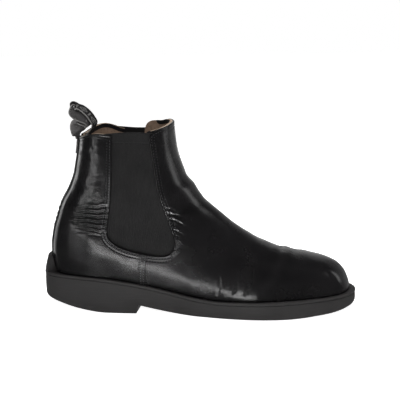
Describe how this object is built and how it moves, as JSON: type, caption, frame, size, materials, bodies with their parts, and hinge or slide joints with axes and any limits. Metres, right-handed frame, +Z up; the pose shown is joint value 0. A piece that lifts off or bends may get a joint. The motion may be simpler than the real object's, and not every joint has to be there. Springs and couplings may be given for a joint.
{
  "type": "chelsea boot",
  "caption": "Ankle-high pull-on leather boot for the right foot, with elastic side gussets, a one-piece vamp, a low block heel, a ridged rubber sole and a ribbon pull loop at the back.",
  "frame": {"origin": "middle of the boot's bounding box on the ground plane under the sole", "axes": "+X from the heel to the toe, +Y to the inner side of this right boot, +Z up"},
  "size_m": [0.3096, 0.1058, 0.1992],
  "materials": {
    "upper_leather": "satin",
    "vamp_leather": "satin",
    "lining_leather": "matte",
    "elastic": "matte",
    "rubber_sole": "matte",
    "welt_rubber": "satin",
    "board": "matte",
    "cork": "matte",
    "steel": "satin",
    "sock": "matte",
    "stiffener": "matte",
    "ribbon": "matte"
  },
  "bodies": {
    "boot": {"quarter_lateral": "upper_leather", "quarter_medial": "upper_leather", "backstay": "upper_leather", "seam_strip_lateral": "upper_leather", "seam_strip_medial": "upper_leather", "vamp": "vamp_leather", "quarter_lining_lateral": "lining_leather", "quarter_lining_medial": "lining_leather", "vamp_lining": "lining_leather", "gusset_lateral": "elastic", "gusset_medial": "elastic", "heel_counter": "stiffener", "toe_puff": "stiffener", "outsole": "rubber_sole", "welt": "welt_rubber", "filler": "cork", "shank": "steel", "insole_board": "board", "sock_liner": "sock", "loop_tab_outer": "ribbon", "loop_tab_inner": "ribbon"},
    "shaft_front": {"vamp_shaft": "vamp_leather", "vamp_shaft_lining": "lining_leather"},
    "pull_loop": {"pull_loop": "ribbon"}
  },
  "joints": [
    {"name": "shaft_front_flex", "type": "hinge", "parent": "boot", "child": "shaft_front", "pos_m": [0.00725, 0, 0.1092], "axis": [0, 1, 0], "range_deg": [0, 8], "stiffness_Nm_per_rad": 3, "deforming": ["gusset_lateral", "gusset_medial"]},
    {"name": "pull_loop_flop", "type": "hinge", "parent": "boot", "child": "pull_loop", "pos_m": [-0.11275, 0.00185, 0.1705], "axis": [0, 1, 0], "range_deg": [0, 50]}
  ]
}
